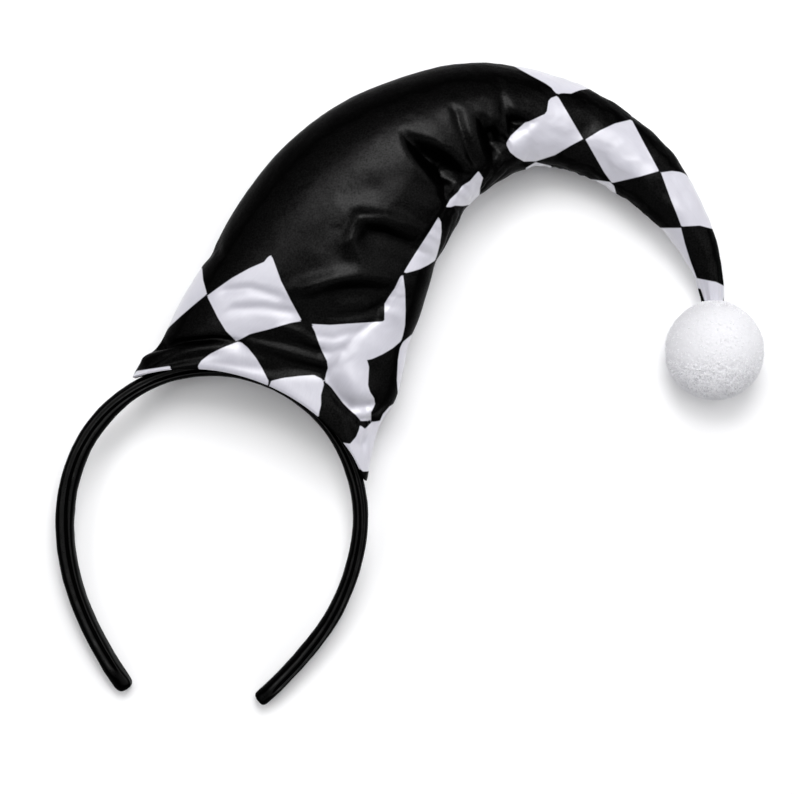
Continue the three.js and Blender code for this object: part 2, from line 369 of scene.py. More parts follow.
# %% Swell the horn with a pressure simulation
SWELL_ALONG = {"at": [0, 0.05, 0.15, 0.45, 0.6, 0.95, 1], "mm": [0, 0, 0.6, 0.6, -0.4, -0.3, 0]}
GATHER = {"height": 0.5, "spacing": 17, "rise": 6, "reach": 26, "uneven": 1.7, "uneven_run": 23,
          "side_shift": 2.1}
CROOK = {"at": [0.02, 0.2, 0.6, 0.85], "share": [0.3, 1, 1, 0.2]}
GIRTH = {"at": [0, 0.2, 0.5, 0.75, 0.9, 1], "mm": [260, 240, 195, 120, 62, 31]}
END = 1e-5
ON_SEAM = 0.01
SATIN_CLOTH = {
    "quality": 6, "mass": 0.05, "tension_stiffness": 15, "compression_stiffness": 15,
    "shear_stiffness": 5, "bending_stiffness": 0.05, "use_pressure": True,
    "uniform_pressure_force": 120}
SIMULATED_FRAMES = 18
MOST_SWELL = 4.5
TINY = 1e-12
CRUMPLE = {"size_mm": 9, "height_mm": 1.3}
LOOSE = {"at": [0, 0.1, 0.5, 0.65, 0.95, 1], "share": [0.1, 0.3, 0.3, 1, 0.7, 0]}


def from_seam_mm(round_share, along_share):
    """How far round the cloth points lie from the seam, on the nearer side."""
    girth = np.interp(along_share, GIRTH["at"], GIRTH["mm"])
    return np.minimum(round_share, 1 - round_share) * girth


def seam_waves(seam_run, chart, shift=0):
    """Waves along the seam, at uneven distances."""
    drift = chart["uneven"] * np.sin(seam_run / chart["uneven_run"])
    return np.sin(2 * np.pi * seam_run / chart["spacing"] + drift + shift)


def apply_modifiers(piece, *modifiers):
    bpy.ops.object.select_all(action="DESELECT")
    piece.select_set(True)
    bpy.context.view_layer.objects.active = piece
    for modifier in modifiers:
        bpy.ops.object.modifier_apply(modifier=modifier.name)


def add_subdivision(piece):
    finer = piece.modifiers.new("finer", "SUBSURF")
    finer.levels = finer.render_levels = 1
    return finer


def add_noise(piece, name, noise, group=""):
    """A Displace modifier with clouds, whose size and height are in millimetres."""
    clouds = bpy.data.textures.new(name, "CLOUDS")
    clouds.noise_scale = noise["size_mm"] * MM
    raising = piece.modifiers.new(name, "DISPLACE")
    raising.texture = clouds
    raising.strength = noise["height_mm"] * MM
    raising.vertex_group = group
    return raising


def weigh_points(piece, name, shares):
    """A vertex group with a weight for each point."""
    group = piece.vertex_groups.new(name=name)
    for index, share in enumerate(shares):
        group.add([index], share, "REPLACE")


points, normals = get_points(horn), get_normals(horn)
round_share, along_share = get_values(horn, "round"), get_values(horn, "along")
from_seam = from_seam_mm(round_share, along_share)
seam_run = along_share * run[-1]
sewn = (from_seam < ON_SEAM) | (along_share < END) | (along_share > 1 - END)
crook = np.interp(along_share, CROOK["at"], CROOK["share"])
wave = seam_waves(seam_run, GATHER, GATHER["side_shift"] * (round_share > 0.5))
ramp = np.clip(from_seam / GATHER["rise"], 0, 1) * np.exp(-(from_seam / GATHER["reach"]) ** 2)
offset = GATHER["height"] * crook * wave * ramp
offset += np.interp(along_share, SWELL_ALONG["at"], SWELL_ALONG["mm"])
start = points + normals * (offset * ~sewn)[:, None] * MM
set_points(horn, start)

pins = horn.vertex_groups.new(name="sewn")
pins.add([int(index) for index in np.flatnonzero(sewn)], 1.0, "REPLACE")
cloth = horn.modifiers.new("filling", "CLOTH")
for name, value in SATIN_CLOTH.items():
    setattr(cloth.settings, name, value)
cloth.settings.effector_weights.gravity = 0
cloth.settings.vertex_group_mass = pins.name
cloth.collision_settings.use_collision = False
for frame_number in range(1, SIMULATED_FRAMES + 1):
    scene.frame_set(frame_number)
apply_modifiers(horn, cloth)
moved = get_points(horn) - start
length = lengths(moved) + TINY
capped = MOST_SWELL * MM * np.tanh(length / (MOST_SWELL * MM))
set_points(horn, start + moved * (capped / length)[:, None])
gained = ((get_points(horn) - points) * normals).sum(axis=1) / MM
print("swell in mm, mean and most:", *np.round([length.mean() / MM, length.max() / MM], 2))
print("outside the CAD form in mm, least and most:", *np.round([gained.min(), gained.max()], 2))
horn.vertex_groups.clear()

weigh_points(horn, "loose", np.interp(along_share, LOOSE["at"], LOOSE["share"]))
apply_modifiers(horn, add_subdivision(horn), add_noise(horn, "crumple", CRUMPLE, "loose"))
horn.vertex_groups.clear()
print("horn after one subdivision:", len(horn.data.polygons), "faces")

# %% [markdown]
# ## Pleats and creases
#
# The folds that give this hat its look are known from the photograph: four pleats that fan out from
# the seam at the bend, two soft dents below them, and creases round the hem. A simulation would put
# its folds elsewhere, so these are pressed in one by one, charted in photograph pixels. A pocket is an
# outline: the cloth starts to roll over a little outside it, bends with a radius of about 4 mm, and
# then goes straight down to a crease. A fold is a line with its depth in millimetres from end to end
# and a width to its left and right in pixels. A negative depth raises a ridge. The depths are averaged
# with their neighbours twice, so that a crease doesn't show the steps of the mesh.

# %% Press the folds into the upper side
POCKETS = {
    "long pleat": [
        (403, 132), (418, 136), (432, 141), (444, 148), (455, 155), (464, 166), (468, 176),
        (464, 188), (455, 198), (446, 203), (438, 190), (428, 176), (416, 161), (407, 146)],
    "second pleat": [
        (453, 107), (460, 112), (463, 126), (470, 148), (475, 163), (470, 157), (463, 140), (456, 122)],
    "third pleat": [
        (477, 115), (485, 115), (492, 123), (501, 118), (505, 128), (512, 148), (506, 158),
        (494, 164), (486, 154), (480, 135)],
    "fourth pleat": [
        (505, 100), (511, 109), (526, 114), (536, 121), (528, 132), (516, 142), (507, 146)],
}
POCKET_ROLL = {"starts": 5.5, "bend": 0.28, "steepest": 1.4}
FOLDS = as_rows(
    "name line depth left right",
    ("ridge in the long pleat", [(438, 160), (445, 175), (451, 191)], (-0.8, -2.0), 4.5, 4.5),
    ("sharp pleat", [(501, 82), (502, 100), (504, 120), (506, 142)], (0.6, 2.0), 3, 3),
    ("upper dent", [(352, 229), (368, 232), (388, 238), (410, 246)], (0.6, 3.6, 3.0), 10, 16),
    ("ridge over it", [(360, 266), (351, 240), (360, 219), (386, 218), (420, 229)],
     (0.0, -2.8, -2.8, -2.2, -1.0), 9, 10),
    ("lower dent", [(324, 293), (345, 291), (368, 291), (388, 294)], (0.3, 2.2, 2.4, 1.4), 8, 20),
    ("ridge beyond it", [(292, 291), (312, 285), (334, 279), (358, 275), (384, 277)],
     (-0.6, -2.8, -2.8, -2.0, -0.8), 9, 10),
    ("saddle", [(336, 199), (372, 188), (410, 179)], (0.0, 1.2, 0.0), 14, 14),
    ("small fold", [(310, 312), (345, 316), (378, 312)], (0.3, 0.5), 5, 5),
    ("crease by the seam", [(330, 317), (366, 315), (384, 306)], (0.3, 1.1), 4, 4),
    ("hem crease", [(150, 347), (180, 341), (215, 339), (240, 342)], (3.6, 1.2), 3, 4),
    ("roll below it", [(146, 360), (176, 352), (208, 349), (232, 352)], (-1.4, -0.6), 6, 6),
    ("join in the white", [(378, 320), (357, 334), (345, 350), (336, 366), (327, 378)],
     (0.6, 0.9), 2, 4),
    ("fold beside the join", [(318, 336), (334, 338), (350, 333)], (0.5, 0.7), 4, 4),
    ("second fold beside it", [(322, 352), (332, 353), (342, 349)], (0.5, 0.6), 4, 4),
    ("fold in the diamond", [(226, 290), (250, 288), (278, 296)], (1.1, 0.9), 4, 6),
    ("second fold there", [(232, 309), (262, 307), (292, 312)], (0.8, 1.0), 4, 6),
    ("ridge by the crossing", [(246, 342), (284, 352), (324, 364)], (-0.5, -0.7), 5, 4),
    ("valley over it", [(252, 336), (288, 343), (320, 353)], (0.5, 0.9), 5, 4),
    ("valley under it", [(258, 353), (292, 365), (320, 372)], (0.6, 1.1), 5, 5),
    ("short ridge", [(281, 327), (300, 333), (316, 343)], (-0.6, -0.8), 4, 4),
    ("bulge", [(342, 362), (353, 382), (364, 397)], (-0.6, -2.0, -2.0), 12, 12),
    ("tuck under the bulge", [(329, 388), (340, 402), (352, 409), (368, 408)], (1.6, 3.8), 9, 4),
    ("second tuck", [(350, 413), (360, 421), (373, 421)], (1.4, 3.0), 4, 4),
    ("slack corner", [(384, 414), (374, 430), (364, 446)], (1.2, 1.6), 5, 6),
    ("fold in the tip", [(536, 147), (531, 155), (526, 163)], (0.4, 1.1), 3, 3),
    ("dip past it", [(548, 131), (566, 138), (582, 134)], (0.8, 1.0), 12, 10),
    ("dip in the next diamond", [(603, 160), (612, 175), (626, 182)], (0.8, 1.0), 8, 8),
    ("dip at its far side", [(626, 122), (640, 140), (650, 158)], (0.8, 0.6), 6, 6),
    ("groove down the tip", [(672, 176), (688, 204), (700, 224)], (0.7, 0.6), 5, 5),
)
UPPER_SIDE = (0.05, 0.4)
HEM_HELD = 0.02
SMOOTHING = 2


def beside_line(pixels, line):
    """Signed distance to a line of pixels, positive to its right, and the share gone along it."""
    line = np.array(line, dtype=float)
    best = np.full(len(pixels), np.inf)
    side, along = np.zeros(len(pixels)), np.zeros(len(pixels))
    for leg, (first, second) in enumerate(zip(line[:-1], line[1:])):
        step = second - first
        share = np.clip((pixels - first) @ step / (step @ step), 0, 1)
        gap = pixels - first - share[:, None] * step
        distance = lengths(gap)
        nearer = distance < best
        best[nearer] = distance[nearer]
        side[nearer] = np.sign(step[0] * gap[nearer, 1] - step[1] * gap[nearer, 0])
        along[nearer] = (leg + share[nearer]) / (len(line) - 1)
    return best * side, along


def smooth_step(values, low, high):
    share = np.clip((values - low) / (high - low), 0, 1)
    return share * share * (3 - 2 * share)


def inside_distance(pixels, outline):
    """Distance from an outline in pixels, positive inside it."""
    nearest = np.full(len(pixels), np.inf)
    inside = np.zeros(len(pixels), dtype=bool)
    corners = np.array(outline, dtype=float)
    for first, second in zip(corners, np.roll(corners, -1, axis=0)):
        distance, _ = beside_line(pixels, [first, second])
        nearest = np.minimum(nearest, np.abs(distance))
        spans = (first[1] > pixels[:, 1]) != (second[1] > pixels[:, 1])
        slope = (second[0] - first[0]) / (second[1] - first[1]) if second[1] != first[1] else 0
        inside ^= spans & (pixels[:, 0] < first[0] + slope * (pixels[:, 1] - first[1]))
    return np.where(inside, nearest, -nearest)


points, normals = get_points(horn), get_normals(horn)
pixels = photo_pixels(points)
press = np.zeros(len(points))
bend_run = POCKET_ROLL["steepest"] / POCKET_ROLL["bend"]
for outline in POCKETS.values():
    deep = inside_distance(pixels, outline) + POCKET_ROLL["starts"]
    deep = np.maximum(deep, 0) * CAMERA_HEIGHT / FOCAL_PIXELS / MM
    press += POCKET_ROLL["bend"] / 2 * np.minimum(deep, bend_run) ** 2
    press += POCKET_ROLL["steepest"] * np.maximum(deep - bend_run, 0)
for fold in FOLDS:
    side, along = beside_line(pixels, fold["line"])
    width = np.where(side < 0, fold["left"], fold["right"])
    depth = np.interp(along, np.linspace(0, 1, len(fold["depth"])), fold["depth"])
    press += depth * np.exp(-(side / width) ** 2)
edges = np.empty(len(horn.data.edges) * 2, dtype=int)
horn.data.edges.foreach_get("vertices", edges)
one_end, other_end = edges.reshape(-1, 2).T
for _ in range(SMOOTHING):
    around, count = np.zeros(len(press)), np.zeros(len(press))
    for here, there in ((one_end, other_end), (other_end, one_end)):
        np.add.at(around, here, press[there])
        np.add.at(count, here, 1)
    press = (press + around / count) / 2
upper = smooth_step(normals[:, 2], *UPPER_SIDE)
hem_hold = smooth_step(get_values(horn, "along"), 0, HEM_HELD)
set_points(horn, points - normals * (press * upper * hem_hold)[:, None] * MM)
print("pockets:", len(POCKETS), "folds:", len(FOLDS))
print("deepest in mm:", round(float((press * upper).max()), 1))

# %% [markdown]
# The narrow strip between the seam and the inner curve is gathered more tightly, in puckers about
# 7 mm apart. They follow the seam, so they are charted along the panel and not in pixels. The corner
# of the hem is pulled a little way down the band, where it is stitched. At the tip the cloth is drawn
# together, which gathers it, and dips behind the ball that it is sewn to.

# %% Pucker the strip beside the seam and gather the tip
PUCKER = {"depth": 0.25, "spacing": 7.0, "from_seam": 4, "reach": 9.0, "uneven": 2.2,
          "uneven_run": 17, "far_side": 0.35}
GATHERED = {"at": [0.1, 0.25, 0.6, 0.8], "share": [0, 1, 1, 0.3]}
CORNER = {"pixel": (366, 473), "reach": 13, "pull": 2.4, "hem": 0.08}
TIP_GATHER = {"depth": 0.35, "folds": 9, "from": 0.93, "sag": 5.0, "sag_from": 0.85, "narrowed": 1.3}

points, normals = get_points(horn), get_normals(horn)
round_share, along_share = get_values(horn, "round"), get_values(horn, "along")
off_middle = (from_seam_mm(round_share, along_share) - PUCKER["from_seam"]) / PUCKER["reach"]
strip = np.where(round_share < 0.5, 1.0, PUCKER["far_side"])
seam_run = along_share * run[-1]
ripple = seam_waves(seam_run, PUCKER)
gathered = np.interp(along_share, GATHERED["at"], GATHERED["share"])
pucker = PUCKER["depth"] * strip * gathered * ripple * np.exp(-off_middle ** 2)
from_corner = lengths(photo_pixels(points) - CORNER["pixel"])
pulled = np.exp(-(from_corner / CORNER["reach"]) ** 2) * (along_share < CORNER["hem"])
points[:, 1] -= CORNER["pull"] * pulled * MM
tip_share = smooth_step(along_share, TIP_GATHER["from"], 1)
pucker += TIP_GATHER["depth"] * tip_share * np.cos(2 * np.pi * TIP_GATHER["folds"] * round_share)
pucker -= TIP_GATHER["narrowed"] * tip_share * np.maximum(-normals[:, 0], 0)
points += normals * pucker[:, None] * MM
points[:, 2] -= TIP_GATHER["sag"] * smooth_step(along_share, TIP_GATHER["sag_from"], 1) * MM
points[:, 2] = np.maximum(points[:, 2], 0)
set_points(horn, points)
print("lowest point of the horn in mm:", round(points[:, 2].min() / MM, 2))

# %% [markdown]
# ## The print
#
# The diamonds are printed on the cloth, so they move with it and have sharp edges. A procedural
# check would need a flat cloth. This one is charted instead: each white patch is a short outline in
# photograph pixels. Every point of the mesh then gets its distance from the nearest outline, in
# pixels, positive inside, and the material cuts that distance at zero. The underside takes the same
# patches, as if the print went on round the outer edge. Patches that meet the outline of the horn
# run past it.

# %% Chart the white patches and store their distance
WHITE_PATCHES = {
    "base diamond": [
        (207, 296), (215, 290), (232, 278), (250, 268), (264, 262), (268, 257), (271, 255),
        (273, 259), (281, 281), (291, 301), (302, 321), (290, 323), (270, 329), (250, 334),
        (239, 340), (236, 341), (226, 331), (218, 318), (212, 306)],
    "outer sliver": [
        (202, 268), (203, 280), (207, 294), (196, 303), (182, 315), (170, 326), (161, 337),
        (156, 345), (140, 345), (165, 290), (190, 262)],
    "hem diamond": [
        (237, 342), (222, 348), (210, 354), (201, 361), (198, 366), (200, 376), (268, 392),
        (268, 380), (262, 368), (256, 358), (248, 348), (241, 342)],
    "second hem diamond": [
        (271, 381), (283, 378), (300, 376), (314, 375), (322, 379), (324, 384), (321, 395),
        (321, 405), (319, 413), (318, 424), (268, 392)],
    "seam side": [
        (311, 324), (330, 325), (360, 323), (383, 321.5), (384.5, 320), (384.5, 304), (388, 298),
        (395, 288), (400, 277), (403, 274.5), (405, 290), (405.5, 310), (405, 325), (403, 335),
        (401, 341), (393, 348), (383, 354), (372, 359), (367, 360), (369, 367), (368, 385),
        (370, 392), (374, 398), (375, 404), (373, 409), (371, 412), (371, 420.5), (361, 421),
        (356, 415), (350, 410), (343, 403), (337, 395), (331, 387), (325, 381.5), (326, 374),
        (328, 368), (327, 361), (322, 351), (318, 341), (315, 332)],
    "hem corner": [
        (360, 425), (365, 429), (369, 425), (372, 422), (380, 421), (383, 414), (390, 406),
        (402, 400), (400, 440), (384, 466), (372, 471), (363, 471.5), (350, 458), (340, 442),
        (350, 444), (356, 437), (359, 430)],
    "inner sliver": [
        (403, 342), (416, 331), (432, 322), (428, 402), (399, 402), (398, 394), (397, 380),
        (398, 360), (400, 348)],
    "hem strip": [
        (126, 383), (137, 371), (150, 369), (170, 366), (171, 371), (150, 375), (140, 378),
        (131, 388)],
    "strip by the seam": [
        (404, 272), (410, 262), (415, 254), (430, 231), (438.5, 217), (441, 222), (441.5, 232),
        (440, 243), (437, 255), (435, 260.5), (428, 265), (420, 269), (412, 271.5), (406, 273)],
    "second strip": [
        (446, 207), (450, 199.5), (458, 192), (462, 186), (470, 181), (478.5, 171), (483, 178),
        (480, 188), (479, 203), (463, 206), (455, 205.5), (451, 207)],
    "top sliver": [
        (512, 65), (530, 75), (545, 83), (552, 88), (553, 90), (557.5, 94.3), (562, 93),
        (571, 93.5), (580, 90), (590, 88.5), (606, 84), (560, 55), (508, 50)],
    "bend diamond": [
        (557.5, 95.7), (551, 98), (548.5, 101), (547, 111), (545, 114), (529, 121.5), (525, 122.5),
        (511, 135.5), (507.5, 141), (506, 144), (510, 152), (516, 157), (524, 161.5), (536, 161.2),
        (555, 155), (570, 146), (583, 139)],
    "tip diamond": [
        (585.5, 139.5), (600, 130.5), (615, 123.5), (631.5, 119.5), (645, 145), (659, 171),
        (640, 176.5), (612, 183), (604, 172)],
    "second tip diamond": [
        (661, 172.5), (672, 171), (680, 172), (685, 174), (689, 178), (708, 172), (738, 232),
        (713, 229), (700, 225.5), (681.5, 226.5), (676, 212), (671, 200)],
    "inner tip sliver": [
        (658, 228), (681, 228), (685, 244), (690, 260), (697, 279), (680, 272), (662, 246)],
    "tip end": [
        (690, 277), (698, 278.5), (708, 280.5), (716, 282), (726, 287), (730, 292), (724.5, 293.5),
        (723, 300), (722, 330), (706, 330), (704.5, 300), (700.5, 288.5), (690, 288)],
    "sliver under the bend": [
        (526, 168), (535.5, 162.3), (551, 166), (556, 176), (526, 180)],
    "sliver under the tip": [
        (592, 179.5), (606, 181.5), (610, 182), (614, 186), (618, 200), (598, 198)],
    "sliver over the tip": [
        (628, 110), (632, 117), (638, 119), (650, 112), (636, 102)],
}
PRINT_REACH = 20


def paint_print(piece):
    """Stores how deep each point lies inside the white print, in pixels."""
    pixels = photo_pixels(get_points(piece))
    white = np.max([inside_distance(pixels, outline) for outline in WHITE_PATCHES.values()], axis=0)
    set_values(piece, "white_print", np.clip(white, -PRINT_REACH, PRINT_REACH))
    return float((white > 0).mean())


print("white share of the cloth:", round(paint_print(horn), 2))

# %% [markdown]
# ## The open mouth
#
# The hem is turned in and sewn round the band, so from below the horn shows a rim of cloth and, a
# little way in, the lining that holds the filling. The hem's edge is extruded four times: round the
# rim, inwards by the cloth's thickness, up to the lining, which stays clear of the band, and to the
# lining's middle line. The upper and lower halves come to the same points there, so merging by distance
# closes it. The tip is drawn together against the ball.

# %% Turn the hem in and close both ends
HEM_WALL = 1.3
RIM_ROUND = 0.3
HEM_CORNERS = 1.5
LINING_RADIUS = 66.2
LINING_RISE = 0.2
LINING_STEPS = 30
BALL_MIDDLE = in_frame(np.array([131.5, 19.4, 20.4]))
BALL_RADIUS = 20.2
BALL_CLEARANCE = 0.2
TIP_CLOSING_RINGS = 3
SHARPEST_CREASE = math.radians(55)


def from_band_axis(points):
    """Distance of points from the axis of the band's arch, and the direction away from it."""
    spokes = points - arch_centre
    spokes -= np.outer(spokes @ faceward, faceward)
    distance = lengths(spokes)
    return distance, spokes / distance[:, None]


def extrude_selection(piece, move):
    """Extrudes what is selected in edit mode and places the new points with move(points)."""
    with edit_mode():
        bpy.ops.mesh.extrude_region_move()
    chosen = np.array([vertex.select for vertex in piece.data.vertices])
    points = get_points(piece)
    points[chosen] = move(points[chosen])
    set_points(piece, points)
    return chosen


def select_points(piece, chosen):
    """Selects just these points, and the edges between them."""
    with edit_mode():
        bpy.ops.mesh.select_mode(type="VERT")
        bpy.ops.mesh.select_all(action="DESELECT")
    piece.data.vertices.foreach_set("select", chosen)
    with edit_mode():
        bpy.ops.mesh.select_mode(type="EDGE")
        bpy.ops.mesh.select_mode(type="VERT")


def inwards(points):
    """Directions from the hem towards the middle of the mouth, across it and through its depth."""
    _, away = from_band_axis(points)
    middle = points.mean(axis=0)
    depth = (points - middle) @ faceward
    end = np.abs(depth) / np.abs(depth).max()
    sideways = middle - points
    sideways -= np.outer(sideways @ faceward, faceward)
    sideways /= lengths(sideways)[:, None]
    mixed = -np.outer(np.sign(depth) * np.minimum(1, end * HEM_CORNERS), faceward)
    mixed += sideways * (1 - end)[:, None]
    return mixed / lengths(mixed)[:, None], away


def rim(points, rise=-RIM_ROUND):
    """Half the wall inwards, and a little past the hem or, with a rise above zero, back inside."""
    towards, away = inwards(points)
    return points + (towards / 2 + away * rise) * HEM_WALL * MM


def inner_edge(points):
    return rim(points, RIM_ROUND)


def up_to_lining(points):
    radius, away = from_band_axis(points)
    return points + away * np.maximum(LINING_RADIUS * MM - radius, LINING_RISE * MM)[:, None]


def to_the_middle(points):
    """The lining's middle line over the band, in even steps, so that its two halves meet there."""
    spokes = points - arch_centre
    swing = np.arctan2(spokes @ across, spokes @ crownward)
    share = (swing - swing.min()) / np.ptp(swing)
    swing = swing.min() + np.ptp(swing) * np.round(share * LINING_STEPS) / LINING_STEPS
    bow = np.outer(np.sin(swing), across) + np.outer(np.cos(swing), crownward)
    return arch_centre + bow * LINING_RADIUS * MM


def off_the_ball(points):
    """Keeps points of the cloth just outside the ball."""
    spokes = points - BALL_MIDDLE
    distance = lengths(spokes)
    least = np.maximum(distance, (BALL_RADIUS + BALL_CLEARANCE) * MM)
    return BALL_MIDDLE + spokes * (least / distance)[:, None]


def drawn_together(points):
    middle = points.mean(axis=0)
    return off_the_ball(middle + (points - middle) / 2)


set_points(horn, off_the_ball(get_points(horn)))
select_points(horn, get_values(horn, "along") > 1 - END)
for _ in range(TIP_CLOSING_RINGS):
    extrude_selection(horn, drawn_together)
with edit_mode():
    bpy.ops.mesh.edge_face_add()

select_points(horn, get_values(horn, "along") < END)
for move in (rim, inner_edge, up_to_lining, to_the_middle):
    lining = extrude_selection(horn, move)
    if move is not rim:
        printed = get_values(horn, "white_print")
        printed[lining] = -PRINT_REACH
        set_values(horn, "white_print", printed)
with edit_mode():
    bpy.ops.mesh.remove_doubles(threshold=MERGED)
    bpy.ops.mesh.select_all(action="SELECT")
    bpy.ops.mesh.normals_make_consistent(inside=False)
bpy.ops.object.shade_smooth_by_angle(angle=SHARPEST_CREASE)
print("closed horn:", len(horn.data.polygons), "faces")

# %% [markdown]
# ## Printed satin
#
# Polyester satin is woven with long floats, so it is smooth and has a soft, broad sheen: black cloth
# shows grey where it faces a softbox, and white cloth shades to a pale lavender. The floats mirror
# best straight on, so the gloss of the black fades where it turns away. On the white the print adds a
# film, which is a rough coat with a high IOR: its broad gloss lifts the lavender dye to white. The
# weave is about 0.25 mm, too fine for the picture, so its slubs are drawn about 0.8 mm wide. They run
# along the panel, on its UV map.

# %% Make the printed satin
PANEL_MM = (230, 300)
SLUB_WIDTH_MM = 0.8
SLUB_LENGTH_MM = 4.0
MOTTLE_MM = 0.7
WEAVE_MM = 0.12
INK_EDGE_PIXELS = 0.45

printed_satin = new_material("printed polyester satin")
panel_map = add_node(printed_satin, "UVMap", uv_map=horn.data.uv_layers[0].name)
thread_map = add_node(printed_satin, "Mapping", {
    "Vector": panel_map,
    "Scale": (PANEL_MM[0] / SLUB_WIDTH_MM, PANEL_MM[1] / SLUB_LENGTH_MM, 1)})
slubs = add_node(printed_satin, "TexNoise", {
    "Vector": thread_map, "Scale": 1.0, "Detail": 3.0, "Roughness": 0.6})
mottle = add_node(printed_satin, "TexNoise", {
    "Vector": add_node(printed_satin, "TexCoord").outputs["Object"],
    "Scale": 1 / (MOTTLE_MM * MM), "Detail": 2.0})
print_depth = add_node(printed_satin, "Attribute", attribute_name="white_print")
white_share = add_node(printed_satin, "MapRange", {
    "Value": print_depth.outputs["Fac"], "From Min": -INK_EDGE_PIXELS, "From Max": INK_EDGE_PIXELS})
white_dye = add_node(printed_satin, "Mix", {
    "Factor": slubs, "A": linear("#adacb7"), "B": linear("#bdbcc6")}, data_type="RGBA")
turned_away = add_node(printed_satin, "LayerWeight", {"Blend": 0.5})
black_dye = add_node(printed_satin, "Mix", {
    "Factor": mottle, "A": linear("#000000"), "B": linear("#020202")}, data_type="RGBA")
dyed = add_node(printed_satin, "Mix", {
    "Factor": white_share, "A": black_dye, "B": white_dye}, data_type="RGBA")
gloss = add_node(printed_satin, "MapRange", {
    "Value": mottle, "From Min": 0.3, "From Max": 0.7, "To Min": 0.3, "To Max": 0.37})
weave = add_node(printed_satin, "Bump", {
    "Height": slubs, "Strength": 0.5, "Distance": WEAVE_MM * MM})
black_mirror = add_node(printed_satin, "MapRange", {
    "Value": turned_away.outputs["Facing"],
    "From Min": 0.08, "From Max": 0.32, "To Min": 0.105, "To Max": 0.005})
floats = add_node(printed_satin, "MapRange", {
    "Value": mottle, "From Min": 0.3, "From Max": 0.7, "To Min": 0.55, "To Max": 1.45})
black_floats = add_node(
    printed_satin, "Math", {0: black_mirror, 1: floats}, operation="MULTIPLY")
mirror = add_node(printed_satin, "Mix", {"Factor": white_share, "A": black_floats, "B": 0.25})
satin = add_node(printed_satin, "BsdfPrincipled", {
    "Base Color": dyed, "Roughness": gloss, "Normal": weave, "Specular IOR Level": mirror,
    "Coat Weight": white_share, "Coat Roughness": 0.5, "Coat IOR": 2.4, "Coat Normal": weave})
add_node(printed_satin, "OutputMaterial", {"Surface": satin})
horn.data.materials.append(printed_satin)

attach(horn, "root")
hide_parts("horn")
print("horn dressed in", printed_satin.name)

# %% [markdown]
# ## The headband
#
# The band is a strip of plastic in a sleeve of black satin, lying on its edge. Its section is a
# rounded bar with a fine groove along the upper edge, where the cloth's two sides meet. A section that
# is carried round several arcs is a job for Spin: the ring starts at the right tip and is spun round
# the centre of each arc in turn, up the leg, over the crown and down the other leg. The loose sleeve
# makes the band wider in some places than in others and lets its seam wander, so its two sides are
# then moved to the widths seen in the photograph. Near the tips the groove closes and the upper edge
# is rounded down, because the cloth is tucked in there.

# %% Spin the section along the band
LEG_ARCS = as_rows("radius sweep", (98, 29), (140, 13.8))
RING_SPACING = 2.4
SECTION_SQUARENESS = 2.2
SEAM_GROOVE = {"at": 0.6, "depth": 1.5, "half_width": 1.0}
TUCKED_END = {"closed": (3, 9), "rounded": (0, 6), "drop": 0.3}
SLEEVE = {
    "at": [0, 0.04, 0.08, 0.12, 0.2, 0.31, 0.36, 0.5, 0.6, 0.66, 0.74, 0.8, 0.9, 0.95, 1],
    "inner": [4.0, 4.25, 4.25, 3.7, 3.3, 3.5, 2.9, 2.9, 3.2, 4.4, 5.0, 4.3, 4.0, 3.75, 3.2],
    "outer": [2.7, 2.3, 2.5, 2.9, 3.2, 3.0, 2.9, 2.9, 3.2, 3.2, 3.0, 3.5, 3.25, 3.5, 4.2],
    "groove": [0, 0, 0, 0, 0, 0, 0, 0, -0.5, -0.5, -0.9, -1.4, -1.7, -1.7, -1.7],
}
SECTION_POINTS = 48
PATH_POINTS = 60


def groove_share(radial):
    """The share of the groove's depth at a distance from the band's middle line."""
    return np.exp(-((radial - SEAM_GROOVE["at"]) / SEAM_GROOVE["half_width"]) ** 2)


arcs, centre_x, centre_y, radius, angle = [], 0.0, 0.0, BAND["radius"], math.pi / 2
for arc in LEG_ARCS:
    centre_x += (radius - arc["radius"]) * math.sin(angle)
    centre_y += (radius - arc["radius"]) * math.cos(angle)
    radius = arc["radius"]
    angle += math.radians(arc["sweep"])
    arcs.insert(0, {
        "centre": (centre_x, centre_y), "radius": radius, "sweep": math.radians(arc["sweep"])})
tip_angle, tip_arc = angle, arcs[0]
other_leg = [{**arc, "centre": (-arc["centre"][0], arc["centre"][1])} for arc in reversed(arcs)]
arcs = [*arcs, {"centre": (0.0, 0.0), "radius": BAND["radius"], "sweep": math.pi}, *other_leg]

bpy.ops.mesh.primitive_circle_add(vertices=SECTION_POINTS, radius=1)
band = bpy.context.object
band.name = "headband_satin"
circle = get_points(band)
power = 2 / SECTION_SQUARENESS
radial = BAND["thick"] / 2 * np.sign(circle[:, 0]) * np.abs(circle[:, 0]) ** power
deep = BAND["deep"] / 2 * np.sign(circle[:, 1]) * np.abs(circle[:, 1]) ** power
deep -= SEAM_GROOVE["depth"] * (groove_share(radial) * (deep > 0))
spoke = np.array([math.sin(tip_angle), math.cos(tip_angle), 0])
tip_middle = np.array([*tip_arc["centre"], 0]) + tip_arc["radius"] * spoke
section = tip_middle + np.outer(radial, spoke) + np.outer(deep, [0, 0, 1])
set_points(band, section * MM)

with edit_mode():
    bpy.ops.mesh.select_all(action="SELECT")
    for arc in arcs:
        steps = max(2, round(arc["radius"] * arc["sweep"] / RING_SPACING))
        middle = (arc["centre"][0] * MM, arc["centre"][1] * MM, 0)
        bpy.ops.mesh.spin(steps=steps, angle=arc["sweep"], center=middle, axis=(0, 0, -1))

